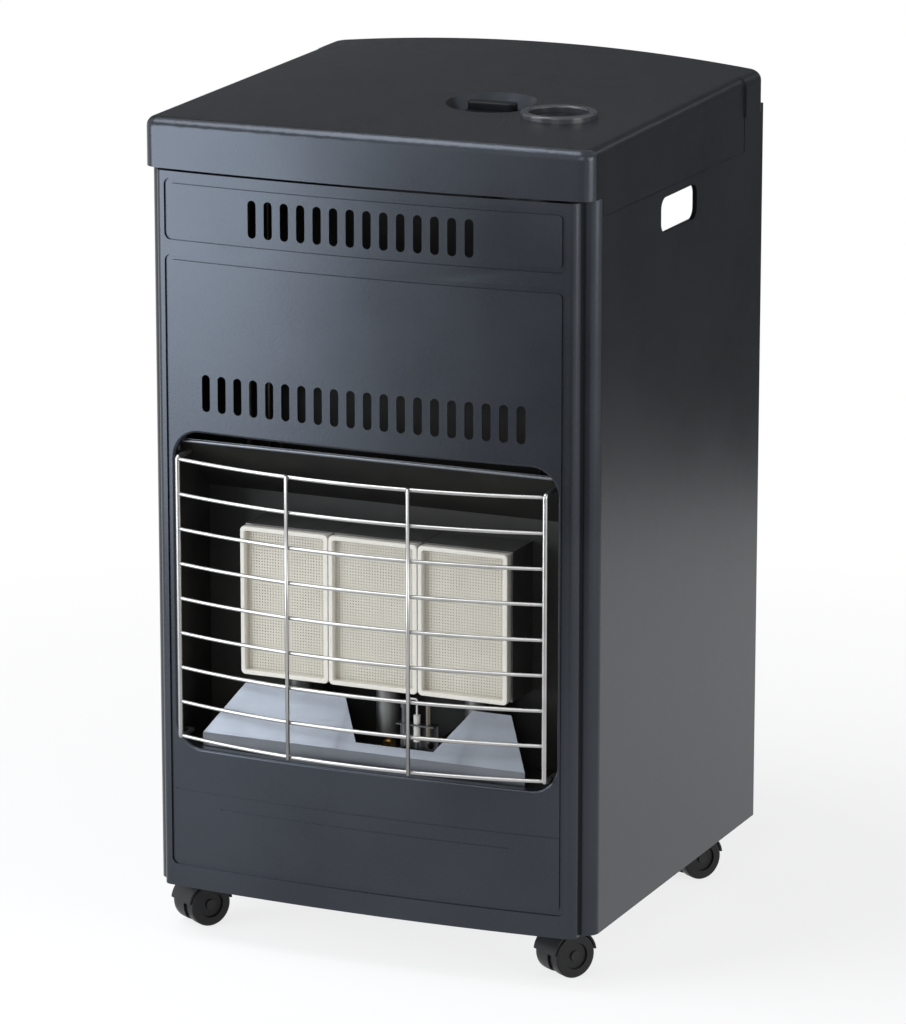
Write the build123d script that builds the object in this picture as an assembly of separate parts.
from build123d import *
import math
import os

# A portable gas cabinet heater: a sheet-metal cabinet on four twin-wheel casters, with a bowed
# front panel, a radiant burner behind a wire guard, and a bay for a gas cylinder at the back.
# Lengths are in millimetres. Every piece is drawn with x = 0 on the middle plane, y = 0 on the
# plane of the two front corner posts, and z = 0 on the cabinet's lower edge. On export it is
# moved so that the origin is on the floor under the middle of the whole heater.

# ---- Cabinet ----
CABINET_WIDTH = 420.0
CABINET_DEPTH = 388.5
GROUND_GAP = 50.0
SHEET = 1.2
SEAM = 0.3
CORNER_RADIUS = 12.0
POST_WIDTH = 24.0
HIDDEN_CLEARANCE = 1.0

# ---- Front panel ----
PANEL_HEIGHT = 645.0
PANEL_PROUD = 14.0
PANEL_BOW = 9.7
PANEL_CORNER = 8.0
GROOVE_WIDTH = 4.5
GROOVE_DEPTH = 1.5
GROOVE_CORNER = 6.0
FIELD_MARGIN = 9.5
FIELD_TOP_MARGIN = 6.0
FIELD_UPPER_HEIGHT = 54.0
FIELD_BAND = 13.0
FIELD_BASE = 20.0
SLOT_WIDTH = 8.0
SLOT_HEIGHT = 33.0
SLOT_PITCH = 15.62
UPPER_SLOTS = 14
UPPER_SLOT_RISE = 8.3
LOWER_SLOTS = 20
LOWER_SLOT_RISE = 19.8
CREASE_WIDTH = 1.6
CREASE_DEPTH = 0.5
UPPER_CREASE_DROP = 40.0
UPPER_CREASE_MARGIN = 15.0
LOWER_CREASE_DROP = 53.5
LOWER_CREASE_MARGIN = 60.0
OPENING_MARGIN = 17.0
OPENING_LOW = 130.0
OPENING_HEIGHT = 286.0
OPENING_CORNER = 25.0
OPENING_ROLL_DEPTH = 9.0
OPENING_EDGE_RADIUS = 2.4
TONGUE_MARGIN = 18.0
TONGUE_REACH = 18.0

# ---- Lid ----
LID_GAP = 2.0
LID_BOW = 11.0
LID_FRONT_REACH = 12.7
LID_CORNER = 14.0
LID_EDGE_RADIUS = 9.0
LID_FRONT_RISE = 45.0
LID_FRONT_CROWN = 2.5
LID_REAR_RISE = 53.5
LID_REAR_CROWN = 12.5
LID_SIDE_DROP = 14.0
LID_STEP_DEPTH = 47.5
LID_STEP_OUT = 2.0
LID_STEP_RISE = 17.0
LID_REAR_DROP = 5.0
LID_SCREW_MARGIN = 21.0
LID_SCREW_PITCH = 105.0
LID_SCREW_RISE = 5.0
SPINDLE_HOLE_CLEARANCE = 1.0

# ---- Side panels ----
HAND_HOLE_START = 143.0
HAND_HOLE_LENGTH = 84.0
HAND_HOLE_HEIGHT = 31.0
HAND_HOLE_DROP = 8.0
HAND_HOLE_CORNER = 10.0
HAND_HOLE_RIM = 3.0
SIDE_LIP_HEIGHT = 14.0
SIDE_REAR_RISE = 23.0

# ---- Base tray ----
TRAY_RISE = 6.0
TRAY_FLANGE = 22.0
SEAT_RADIUS = 150.0
SEAT_RISE = 3.0
LUG_MARGIN = 48.0
LUG_WIDTH = 24.0
LUG_REACH = 12.0

# ---- Rear cover ----
COVER_MARGIN = 4.0
COVER_LOW = 22.0
COVER_HEIGHT = 476.0
COVER_GAP = 0.3
COVER_LIFT = 12.0
COVER_FLANGE = 8.0
HOOK_MARGIN = 9.0
HOOK_LOW_RISE = 38.0
HOOK_TOP_DROP = 58.0
HOOK_WIDTH = 10.0
HOOK_DROP = 10.0
VENT_LENGTH = 60.0
VENT_WIDTH = 6.0
VENT_PITCH = 14.0
VENT_ROWS = 4
VENT_COLUMNS = 5
VENT_COLUMN_GAP = 12.0
VENT_BASE = 40.0

# ---- Heat shield and rails ----
SHIELD_Y = 80.0
SHIELD_DROP = 21.0
SHIELD_HEM = 10.0
SHIELD_SHOULDER = 8.0
RAIL_LIP = 10.0
RAIL_DROP = 11.0
RAIL_HEIGHT = 26.0
FRONT_RAIL_DROP = 16.0

# ---- Burner housing ----
HOUSING_POST_GAP = 0.8
HOUSING_FRONT_Y = -5.0
HOUSING_DEPTH = 64.2
HOUSING_FLOOR_DROP = 2.8
HOUSING_FLOOR_REACH = 7.0
HOOD_EDGE_DROP = 9.0
HOOD_FALL = 55.0
HOOD_HEM_RADIUS = 2.0
HOUSING_FLANGE = 12.0
HOUSING_FLANGE_DROP = 4.8

# ---- Burners ----
BURNER_COUNT = 3
BURNER_PITCH = 85.0
BURNER_RISE = 67.5
BURNER_HEIGHT = 134.0
BURNER_FRAME_Y = 2.5
BURNER_FRAME_WIDTH = 4.0
BURNER_FRAME_CORNER = 2.0
PLAQUE_SET_BACK = 6.0
PLAQUE_THICKNESS = 12.0
PLAQUE_CORNER = 1.0
PLAQUE_LEDGE = 4.5
BURNER_WALL = 1.5
BURNER_GAP = 0.6
MIXER_RADIUS = 11.0
MIXER_WALL = 1.5
MIXER_Y = 36.0
MIXER_RISE = 22.8
MIXER_COLLAR = 4.0
INJECTOR_RADIUS = 5.0
INJECTOR_ENTRY = 4.0
INJECTOR_HEX = 7.0
INJECTOR_HEX_HEIGHT = 6.0
MANIFOLD_RADIUS = 5.0
MANIFOLD_OVERHANG = 23.0
MANIFOLD_FOOT = 12.0
MANIFOLD_SEAT = 6.0

# ---- Lower reflector ----
REFLECTOR_GAP = 11.0
REFLECTOR_LIP_HEIGHT = 14.8
REFLECTOR_TOP_Y = 12.0
REFLECTOR_BOTTOM_Y = -6.0
REFLECTOR_LEFT_MARGINS = (24.0, 57.5)
REFLECTOR_RIGHT_MARGINS = (37.5, 58.0)
REFLECTOR_NOTCH = ((-31.0, -14.0), (91.0, 60.0))
REFLECTOR_STRIP = 8.0

# ---- Pilot, thermocouple and electrode ----
PILOT_X = 42.0
PILOT_Y = 3.0
PILOT_PITCH = 11.0
PILOT_GAP = 6.0
PILOT_HEIGHT = 20.0
PILOT_PLATE_HALF = 18.0
PILOT_FOOT = 12.0
PILOT_SHELF_REACH = 5.0
PILOT_TUBE_RADIUS = 2.0
PILOT_BODY_RADIUS = 3.5
PILOT_HEAD_RADIUS = 4.5
PILOT_HEAD_HEIGHT = 6.0
PILOT_BODY_DROP = 12.0
PILOT_PORT_LENGTH = 12.0
PROBE_RADIUS = 2.5
PROBE_TIP_DROP = 14.0
ELECTRODE_RADIUS = 3.0
ELECTRODE_SLEEVE_DROP = 16.0
ELECTRODE_SLEEVE_RISE = 8.0
ELECTRODE_REACH = 6.0
ELECTRODE_TIP_RISE = 2.0
ELECTRODE_WIRE_RADIUS = 0.9
LEAD_RADIUS = 1.5
PIPE_BEND = 9.0

# ---- Pipes behind the burner ----
RISER_GAP = 9.8
PROBE_RISER_GAP = 4.8
PILOT_CROSSING_GAP = 36.0
PROBE_CROSSING_GAP = 28.0
FEED_RADIUS = 4.0
FEED_RISER_MARGIN = 35.2
PILOT_RISER_MARGIN = 55.2
PROBE_RISER_MARGIN = 69.2
PIPE_HOLE_CLEARANCE = 0.6
BRACKET_HOLE_CLEARANCE = 1.8
PIPE_DROP = 28.0
PROBE_DROP = 20.0
OVERPASS_DROP = 32.0
PROBE_OVERPASS_DROP = 18.0

# ---- Wire guard ----
WIRE_RADIUS = 1.75
GUARD_FRAME_RADIUS = 2.2
GUARD_MARGIN = 11.7
GUARD_END_Y = -24.5
GUARD_BOW = 25.0
GUARD_TOP_DROP = 22.7
GUARD_LOW_RISE = 13.06
GUARD_ROWS = 9
GUARD_UPRIGHT_X = 57.3
GUARD_WELD = 0.4
GUARD_LEG_Y = 0.0
GUARD_LEG_RISE = 1.5

# ---- Gas valve and control knob ----
KNOB_X = 58.0
KNOB_Y = 129.0
WELL_TOP_RADIUS = 41.0
WELL_FLOOR_RADIUS = 35.0
WELL_DEPTH = 15.0
KNOB_RADIUS = 25.0
KNOB_HEIGHT = 12.5
KNOB_SKIRT = 5.0
KNOB_GRIP_WIDTH = 13.0
KNOB_GRIP_LENGTH = 46.0
KNOB_GRIP_ROUND = 1.8
KNOB_PRESS = 3.0
KNOB_LIFT = 3.6
SPINDLE_RADIUS = 4.0
RUNNING_FIT = 0.05
SHELF_RISE = 27.0
SHELF_REACH = 68.0
SHELF_HALF = 26.0
SHELF_LEG = 70.0
VALVE_RADIUS = 16.0
VALVE_HEIGHT = 66.0
VALVE_NECK_RADIUS = 8.0
VALVE_NECK_HEIGHT = 9.0
VALVE_NUT_WALL = 4.0
VALVE_NUT_HEIGHT = 5.0
VALVE_BORE_DEPTH = 18.0
VALVE_PORT_RADIUS = 7.0
PILOT_PORT_RADIUS = 5.5
PILOT_PORT_REACH = 4.0
FEED_PORT_RISE = 8.0
INLET_PORT_RADIUS = 8.0
INLET_PORT_REACH = 3.0
INLET_DROP = 56.0
HOSE_TAIL_RADIUS = 4.0
HOSE_TAIL_LENGTH = 24.0
HOSE_NUT_LENGTH = 10.0
HOSE_NUT_RADIUS = 9.0
HOSE_TAIL_CHAMFER = 0.8

# ---- Igniter ----
IGNITER_X = 129.5
IGNITER_Y = 107.0
COLLAR_RADIUS = 33.5
COLLAR_BORE = 26.0
COLLAR_PROUD = 4.0
COLLAR_ROUND = 2.0
SLEEVE_WALL = 2.5
SLEEVE_FLOOR_RISE = 23.0
SLEEVE_FLOOR = 3.0
BUTTON_CLEARANCE = 0.6
BUTTON_SINK = 6.0
BUTTON_HEIGHT = 14.0
BUTTON_TRAVEL = 6.0
BUTTON_STEM_RADIUS = 4.0
BUTTON_STEM_LENGTH = 26.0
BUTTON_ROUND = 3.0
PIEZO_RADIUS = 13.0
PIEZO_LENGTH = 56.0
PIEZO_LEAD_DROP = 24.0
PIEZO_BORE_CLEARANCE = 2.0

# ---- Screws ----
SCREW_RADIUS = 2.0
SCREW_HEAD_RADIUS = 4.0
SCREW_HEAD = 2.2
SCREW_TIP = 3.0
SCREW_HEAD_ROUND = 0.8
REAR_SCREW_RISE = 8.0
TRAY_SCREW_INSET = 36.0

# ---- Casters ----
CASTER_SIDE_INSET = 33.0
CASTER_FRONT_INSET = 52.0
CASTER_REAR_INSET = 31.5
CASTER_ANGLE = -32.7
CASTER_TRAIL = 17.0
WHEEL_RADIUS = 20.0
WHEEL_WIDTH = 12.0
WHEEL_GAP = 0.4
WHEEL_BARE = 1.0
WHEEL_ROUND = 2.0
HUB_RADIUS = 12.0
HUB_DISH = 2.0
WEB_WIDTH = 9.0
WEB_BOTTOM = 9.0
AXLE_RADIUS = 3.0
AXLE_HEAD = 1.0
AXLE_HEAD_RADIUS = 4.5
HOOD_CLEARANCE = 0.8
HOOD_WALL = 1.8
HOOD_BOTTOM = 23.0
BOSS_RADIUS = 8.5
KINGPIN_RADIUS = 4.0
CASTER_PLATE = 44.0
CASTER_PLATE_THICKNESS = 2.5
CASTER_PLATE_CORNER = 6.0
CASTER_BOLT_OFFSET = 16.0

# ---- Places across the cabinet, worked out from its width ----
HALF_WIDTH = CABINET_WIDTH / 2
WALL_INNER_X = HALF_WIDTH - SHEET
POST_INNER_X = HALF_WIDTH - POST_WIDTH
PANEL_HALF = HALF_WIDTH - CORNER_RADIUS
FIELD_HALF = PANEL_HALF - FIELD_MARGIN
OPENING_HALF = PANEL_HALF - OPENING_MARGIN
TONGUE_HALF = PANEL_HALF - TONGUE_MARGIN
LUG_X = PANEL_HALF - LUG_MARGIN
LID_SCREW_X = POST_INNER_X - LID_SCREW_MARGIN
COVER_HALF = HALF_WIDTH - COVER_MARGIN
HOOK_X = COVER_HALF - HOOK_MARGIN
HOUSING_HALF = POST_INNER_X - HOUSING_POST_GAP
GUARD_HALF = HOUSING_HALF - GUARD_MARGIN
FEED_RISER_X = FEED_RISER_MARGIN - HOUSING_HALF
PILOT_RISER_X = PILOT_RISER_MARGIN - HOUSING_HALF
PROBE_RISER_X = PROBE_RISER_MARGIN - HOUSING_HALF
CASTER_X = HALF_WIDTH - CASTER_SIDE_INSET
BURNER_XS = [(i - (BURNER_COUNT - 1) / 2) * BURNER_PITCH for i in range(BURNER_COUNT)]
MANIFOLD_END = BURNER_XS[-1] + MANIFOLD_OVERHANG

# ---- Places from front to back ----
BACK_INNER_Y = CABINET_DEPTH - SHEET
COVER_FACE_Y = CABINET_DEPTH + COVER_GAP
LID_STEP_Y = CABINET_DEPTH - LID_STEP_DEPTH
HOUSING_BACK_Y = HOUSING_FRONT_Y + HOUSING_DEPTH
BURNER_BACK_Y = HOUSING_BACK_Y - SHEET
PLAQUE_FACE_Y = BURNER_FRAME_Y + PLAQUE_SET_BACK
BURNER_FRONT_Y = PLAQUE_FACE_Y + PLAQUE_THICKNESS / 2
RISER_Y = HOUSING_BACK_Y + RISER_GAP
PROBE_RISER_Y = HOUSING_BACK_Y + PROBE_RISER_GAP
PILOT_CROSSING_Y = KNOB_Y - PILOT_CROSSING_GAP
PROBE_CROSSING_Y = KNOB_Y - PROBE_CROSSING_GAP
CASTER_REAR_Y = CABINET_DEPTH - CASTER_REAR_INSET
CASTERS = {
    "front_left": (-CASTER_X, CASTER_FRONT_INSET),
    "front_right": (CASTER_X, CASTER_FRONT_INSET),
    "rear_left": (-CASTER_X, CASTER_REAR_Y),
    "rear_right": (CASTER_X, CASTER_REAR_Y),
}
GUARD_SAG = GUARD_BOW * (1 - (GUARD_UPRIGHT_X / GUARD_HALF) ** 2)
GUARD_UPRIGHT_Y = GUARD_END_Y - GUARD_SAG - 2 * WIRE_RADIUS + GUARD_WELD
GUARD_REACH = max(GUARD_BOW - GUARD_END_Y, -GUARD_UPRIGHT_Y) + WIRE_RADIUS
BACK_Y = CABINET_DEPTH + max(COVER_GAP + SHEET, SCREW_HEAD)
DEPTH_TOTAL = GUARD_REACH + BACK_Y
CORNER_Y = GUARD_REACH - DEPTH_TOTAL / 2

# ---- Heights ----
OPENING_SPAN = (OPENING_LOW, OPENING_LOW + OPENING_HEIGHT)
FIELD_UPPER_TOP = PANEL_HEIGHT - FIELD_TOP_MARGIN
FIELD_UPPER = (FIELD_UPPER_TOP - FIELD_UPPER_HEIGHT, FIELD_UPPER_TOP)
FIELD_MAIN = (FIELD_BASE, FIELD_UPPER[0] - FIELD_BAND)
UPPER_SLOT_Z = FIELD_UPPER[0] + UPPER_SLOT_RISE
LOWER_SLOT_Z = OPENING_SPAN[1] + LOWER_SLOT_RISE
LID_LIP = PANEL_HEIGHT + LID_GAP
LID_FRONT_EDGE = PANEL_HEIGHT + LID_FRONT_RISE
LID_REAR_EDGE = PANEL_HEIGHT + LID_REAR_RISE
LID_SIDE_SKIRT = PANEL_HEIGHT - LID_SIDE_DROP
LID_STEP_SKIRT = PANEL_HEIGHT + LID_STEP_RISE
LID_REAR_SKIRT = PANEL_HEIGHT - LID_REAR_DROP
LID_SCREW_Z = PANEL_HEIGHT + LID_SCREW_RISE
SIDE_REAR_TOP = PANEL_HEIGHT + SIDE_REAR_RISE
HAND_HOLE_TOP = LID_SIDE_SKIRT - HAND_HOLE_DROP
COVER_TOP = COVER_LOW + COVER_HEIGHT
HOOK_HEIGHTS = (COVER_LOW + HOOK_LOW_RISE, COVER_TOP - HOOK_TOP_DROP)
SHIELD_TOP = PANEL_HEIGHT - SHIELD_DROP
RAIL_LOW = PANEL_HEIGHT - RAIL_DROP
HOUSING_FLOOR = OPENING_SPAN[0] - HOUSING_FLOOR_DROP
HOOD_EDGE_Z = OPENING_SPAN[1] - HOOD_EDGE_DROP
HOOD_BACK_Z = HOOD_EDGE_Z - HOOD_FALL
BURNER_LOW = OPENING_SPAN[0] + BURNER_RISE
BURNER_SPAN = (BURNER_LOW, BURNER_LOW + BURNER_HEIGHT)
MIXER_BOTTOM = HOUSING_FLOOR + MIXER_RISE
MANIFOLD_Z = HOUSING_FLOOR + MANIFOLD_RADIUS + SEAM
REFLECTOR_TOP = BURNER_LOW - REFLECTOR_GAP
REFLECTOR_BOTTOM = HOUSING_FLOOR + REFLECTOR_LIP_HEIGHT
PILOT_TOP = BURNER_LOW - PILOT_GAP
PILOT_PLATE_TOP = PILOT_TOP - PILOT_HEIGHT
GUARD_TOP = OPENING_SPAN[1] - GUARD_TOP_DROP
GUARD_LOW = OPENING_SPAN[0] + GUARD_LOW_RISE
GUARD_PITCH = (GUARD_TOP - GUARD_LOW) / (GUARD_ROWS - 1)
SHELF_Z = PANEL_HEIGHT + SHELF_RISE
SLEEVE_FLOOR_Z = PANEL_HEIGHT + SLEEVE_FLOOR_RISE
OVERPASS_Z = SHELF_Z - OVERPASS_DROP
PROBE_OVERPASS_Z = SHELF_Z - PROBE_OVERPASS_DROP
INLET_Z = SHELF_Z - INLET_DROP

# ---- How far cutting shapes run past what they cut ----
FAR = 60.0
OVER = 1.0


# ---- Plain shapes ----
def block(x0, x1, y0, y1, z0, z1):
    """A box between two corners."""
    middle = Pos((x0 + x1) / 2, (y0 + y1) / 2, (z0 + z1) / 2)
    return middle * Box(x1 - x0, y1 - y0, z1 - z0)


def rod(start, end, radius):
    """A round bar from one point to another."""
    start = Vector(*start)
    along = Vector(*end) - start
    low_end = (Align.CENTER, Align.CENTER, Align.MIN)
    return Plane(start, z_dir=along) * Cylinder(radius, along.length, align=low_end)


def pipe(points, radius, bend):
    """A round pipe along straight runs joined by equal bends."""
    path = FilletPolyline(*points, radius=bend)
    section = Plane(path @ 0, z_dir=path % 0) * Circle(radius)
    return sweep(section, path=path)


def window(half, span, corner, y0, y1):
    """A rounded rectangle seen from the front, running from y0 back to y1."""
    low, high = span
    face = Plane.XZ * (Pos(0, (low + high) / 2) * RectangleRounded(2 * half, high - low, corner))
    return Pos(0, y1, 0) * extrude(face, amount=y1 - y0)


def upright_slot(x, span, width, y0, y1):
    """A slot with round ends, standing up, seen from the front."""
    low, high = span
    outline = Pos(x, (low + high) / 2) * Rot(0, 0, 90) * SlotOverall(high - low, width)
    return Pos(0, y1, 0) * extrude(Plane.XZ * outline, amount=y1 - y0)


def mirrored(shape):
    """The same piece on the heater's other side."""
    return mirror(shape, Plane.YZ)


# ---- Front panel ----
def bowed_block(inset, back_y, z0, z1):
    """The solid behind the panel's bowed face, drawn in on all sides by an inset."""
    half = PANEL_HALF - inset
    side_y = -(PANEL_PROUD - inset)
    front = ThreePointArc((-half, side_y), (0, side_y - PANEL_BOW), (half, side_y))
    rest = Polyline((half, side_y), (half, back_y), (-half, back_y), (-half, side_y))
    face = make_face([front, *rest.edges()])
    corner = max(PANEL_CORNER - inset, SHEET)
    face = fillet(face.vertices().sort_by(Axis.Y)[:2], corner)
    return Pos(0, 0, z0) * extrude(face, amount=z1 - z0, dir=(0, 0, 1))


def field_ring(span, grow):
    """The band that a field's pressed groove follows, widened by grow on both edges."""
    low, high = span
    outer = window(FIELD_HALF + grow, (low - grow, high + grow), GROOVE_CORNER + grow, -FAR, -SHEET)
    edge = GROOVE_WIDTH + grow
    inner_span = (low + edge, high - edge)
    corner = GROOVE_CORNER - GROOVE_WIDTH / 2
    return outer - window(FIELD_HALF - edge, inner_span, corner, -FAR, -SHEET)


def front_panel():
    """The bowed painted panel with its pressed fields, air slots and burner opening."""
    inner = bowed_block(SHEET, OVER, SHEET, PANEL_HEIGHT - SHEET)
    panel = bowed_block(0, 0, 0, PANEL_HEIGHT) - inner
    bead_inside = bowed_block(GROOVE_DEPTH + SHEET, OVER, -OVER, PANEL_HEIGHT + OVER)
    bead_layer = bowed_block(0, 0, 0, PANEL_HEIGHT) - bead_inside
    groove_floor = bowed_block(GROOVE_DEPTH, OVER, -OVER, PANEL_HEIGHT + OVER)
    for span in (FIELD_UPPER, FIELD_MAIN):
        panel += field_ring(span, SHEET) & bead_layer
        panel -= field_ring(span, 0) - groove_floor
    crease_floor = bowed_block(CREASE_DEPTH, OVER, -OVER, PANEL_HEIGHT + OVER)
    for drop, margin in ((UPPER_CREASE_DROP, UPPER_CREASE_MARGIN), (LOWER_CREASE_DROP, LOWER_CREASE_MARGIN)):
        half = PANEL_HALF - margin
        height = OPENING_SPAN[0] - drop
        line = block(-half, half, -FAR, -SHEET, height, height + CREASE_WIDTH)
        panel -= line - crease_floor
    roll_inside = bowed_block(OPENING_ROLL_DEPTH, OVER, -OVER, PANEL_HEIGHT + OVER)
    low, high = OPENING_SPAN
    roll = window(OPENING_HALF + SHEET, (low - SHEET, high + SHEET), OPENING_CORNER + SHEET, -FAR, 0)
    panel += (roll & bowed_block(0, 0, 0, PANEL_HEIGHT)) - roll_inside
    panel -= window(OPENING_HALF, OPENING_SPAN, OPENING_CORNER, -FAR, FAR)
    panel = fillet(opening_front_edges(panel), OPENING_EDGE_RADIUS)
    panel -= slot_row(UPPER_SLOTS, UPPER_SLOT_Z) + slot_row(LOWER_SLOTS, LOWER_SLOT_Z)
    panel += block(-TONGUE_HALF, TONGUE_HALF, -PANEL_PROUD / 2, TONGUE_REACH,
                   PANEL_HEIGHT - SHEET, PANEL_HEIGHT)
    return panel - panel_screws(SEAM / 2)


def slot_row(count, low):
    """A row of air slots at an even pitch across the panel, from their lower ends up."""
    xs = [(i - (count - 1) / 2) * SLOT_PITCH for i in range(count)]
    return [upright_slot(x, (low, low + SLOT_HEIGHT), SLOT_WIDTH, -FAR, FAR) for x in xs]


def opening_front_edges(panel):
    """The edges where the panel's face turns into the burner opening."""
    face_edges = panel.edges().filter_by(lambda e: e.center().Y < -PANEL_PROUD - 0.2)
    low, high = OPENING_SPAN
    picked = []
    for edge in face_edges:
        spot = edge.center()
        box = edge.bounding_box()
        inside_x = box.min.X > -OPENING_HALF - 0.1 and box.max.X < OPENING_HALF + 0.1
        inside_z = box.min.Z > low - 0.1 and box.max.Z < high + 0.1
        on_skin = abs(spot.Y - panel_skin_y(spot.X)) < 2.2
        if inside_x and inside_z and on_skin:
            picked.append(edge)
    return picked


def panel_skin_y(x):
    """The depth of the panel's outer face at a place across it."""
    return -(PANEL_PROUD + PANEL_BOW * (1 - (x / PANEL_HALF) ** 2))


# ---- Side panels ----
def side_panel_right():
    """A folded side sheet with a front corner post, a rear flange and a hand-hole."""
    outer = block(POST_INNER_X, HALF_WIDTH, 0, CABINET_DEPTH, 0, SIDE_REAR_TOP)
    corner = outer.edges().filter_by(Axis.Z).group_by(Axis.X)[-1].sort_by(Axis.Y)[0]
    outer = fillet(corner, CORNER_RADIUS)
    inner = block(POST_INNER_X - OVER, WALL_INNER_X, SHEET, BACK_INNER_Y, -OVER, SIDE_REAR_TOP + OVER)
    corner = inner.edges().filter_by(Axis.Z).group_by(Axis.X)[-1].sort_by(Axis.Y)[0]
    panel = outer - fillet(corner, CORNER_RADIUS - SHEET)
    wall_top = LID_SIDE_SKIRT - SEAM
    post_top = LID_LIP - SEAM
    skirt_start = CORNER_RADIUS - SEAM
    step_start = LID_STEP_Y + SHEET + SEAM
    panel -= block(0, FAR + HALF_WIDTH, -OVER, skirt_start, post_top, SIDE_REAR_TOP + OVER)
    panel -= block(0, FAR + HALF_WIDTH, skirt_start, step_start, wall_top, SIDE_REAR_TOP + OVER)
    panel += block(WALL_INNER_X - SHEET, WALL_INNER_X, CORNER_RADIUS + SHEET, BACK_INNER_Y,
                   wall_top - SIDE_LIP_HEIGHT / 2, wall_top + SIDE_LIP_HEIGHT)
    panel += hand_hole(SHEET) & block(WALL_INNER_X - HAND_HOLE_RIM, WALL_INNER_X,
                                      0, CABINET_DEPTH, 0, wall_top)
    panel -= hand_hole(0)
    for z in HOOK_HEIGHTS:
        panel -= hook_slot(z)
    return panel - rear_screws(SEAM / 2) - tray_screws(SEAM / 2)


def hand_hole(grow):
    """The rounded hand-hole through the right side, widened by grow."""
    outline = RectangleRounded(HAND_HOLE_LENGTH + 2 * grow, HAND_HOLE_HEIGHT + 2 * grow,
                               HAND_HOLE_CORNER + grow)
    middle = Pos(HAND_HOLE_START + HAND_HOLE_LENGTH / 2, HAND_HOLE_TOP - HAND_HOLE_HEIGHT / 2)
    face = Plane.YZ * (middle * outline)
    return Pos(HALF_WIDTH - FAR, 0, 0) * extrude(face, amount=2 * FAR)


def hook_slot(z):
    """The slot in the rear flange that a hook of the rear cover drops into."""
    half = HOOK_WIDTH / 2 + SEAM * 2
    top = z + SHEET + COVER_LIFT + 2 * SEAM
    return block(HOOK_X - half, HOOK_X + half, BACK_INNER_Y - OVER, CABINET_DEPTH + OVER, z - SEAM, top)


# ---- Lid ----
def lid_rise(y):
    """How far a place lies from the lid's front edge towards its rear edge."""
    return (y + LID_FRONT_REACH) / (CABINET_DEPTH + LID_FRONT_REACH)


def lid_section(y, inset):
    """The lid's outline across its width at one depth, with its low arch on top."""
    edge = LID_FRONT_EDGE + (LID_REAR_EDGE - LID_FRONT_EDGE) * lid_rise(y) - inset
    crown = LID_FRONT_CROWN + (LID_REAR_CROWN - LID_FRONT_CROWN) * lid_rise(y)
    low = LID_SIDE_SKIRT - FAR
    wide = HALF_WIDTH + FAR / 3
    arch_radius = (HALF_WIDTH ** 2 + crown ** 2) / (2 * crown)
    end = edge + crown - arch_radius + math.sqrt(arch_radius ** 2 - wide ** 2)
    arch = ThreePointArc((-wide, end), (0, edge + crown), (wide, end))
    rest = Polyline((wide, end), (wide, low), (-wide, low), (-wide, end))
    face = make_face([arch, *rest.edges()])
    return Pos(0, y, 0) * (Plane.XZ * face)


def lid_body(half, inset):
    """The full form of the lid, drawn in on all sides by an inset."""
    side_y = -(LID_FRONT_REACH - inset)
    wide = half - inset
    rear_y = CABINET_DEPTH - inset
    front = ThreePointArc((-wide, side_y), (0, side_y - LID_BOW), (wide, side_y))
    rest = Polyline((wide, side_y), (wide, rear_y), (-wide, rear_y), (-wide, side_y))
    plan = make_face([front, *rest.edges()])
    plan = fillet(plan.vertices(), LID_CORNER - inset)
    bottom = LID_SIDE_SKIRT - (OVER if inset else 0)
    prism = Pos(0, 0, bottom) * extrude(plan, amount=2 * FAR, dir=(0, 0, 1))
    reach = LID_FRONT_REACH + LID_BOW + OVER
    sections = [lid_section(-reach, inset), lid_section(CABINET_DEPTH + OVER, inset)]
    envelope = loft(sections, ruled=True)
    body = prism & envelope
    rim_low = LID_FRONT_EDGE - inset - LID_FRONT_CROWN
    rim = body.edges().filter_by(lambda e: e.bounding_box().min.Z > rim_low)
    return fillet(rim, LID_EDGE_RADIUS - inset)


def lid_surface(x, y):
    """The height of the lid's top at a place."""
    edge = LID_FRONT_EDGE + (LID_REAR_EDGE - LID_FRONT_EDGE) * lid_rise(y)
    crown = LID_FRONT_CROWN + (LID_REAR_CROWN - LID_FRONT_CROWN) * lid_rise(y)
    return edge + crown * (1 - (x / HALF_WIDTH) ** 2)


def stepped_lid(inset):
    """The lid's form with its rear band standing a little further out at the sides."""
    step_y = LID_STEP_Y + inset
    wide = 2 * HALF_WIDTH
    tall = 2 * PANEL_HEIGHT
    ahead = lid_body(HALF_WIDTH, inset) & block(-wide, wide, -FAR, step_y, 0, tall)
    behind = lid_body(HALF_WIDTH + LID_STEP_OUT, inset) & block(-wide, wide, step_y, 2 * wide, 0, tall)
    return ahead + behind


WELL_FLOOR_Z = lid_surface(KNOB_X, KNOB_Y) - WELL_DEPTH
COLLAR_TOP_Z = lid_surface(IGNITER_X, IGNITER_Y) + COLLAR_PROUD
BUTTON_TOP_Z = COLLAR_TOP_Z - BUTTON_SINK
KNOB_Z = WELL_FLOOR_Z + KNOB_LIFT


def knob_well(grow):
    """The dished recess round the control knob, widened and deepened by grow."""
    height = 2 * WELL_DEPTH
    slope = (WELL_TOP_RADIUS - WELL_FLOOR_RADIUS) / WELL_DEPTH
    low_end = (Align.CENTER, Align.CENTER, Align.MIN)
    base = WELL_FLOOR_RADIUS + grow
    cone = Cone(base, base + slope * height, height, align=low_end)
    return Pos(KNOB_X, KNOB_Y, WELL_FLOOR_Z - grow) * cone


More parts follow.
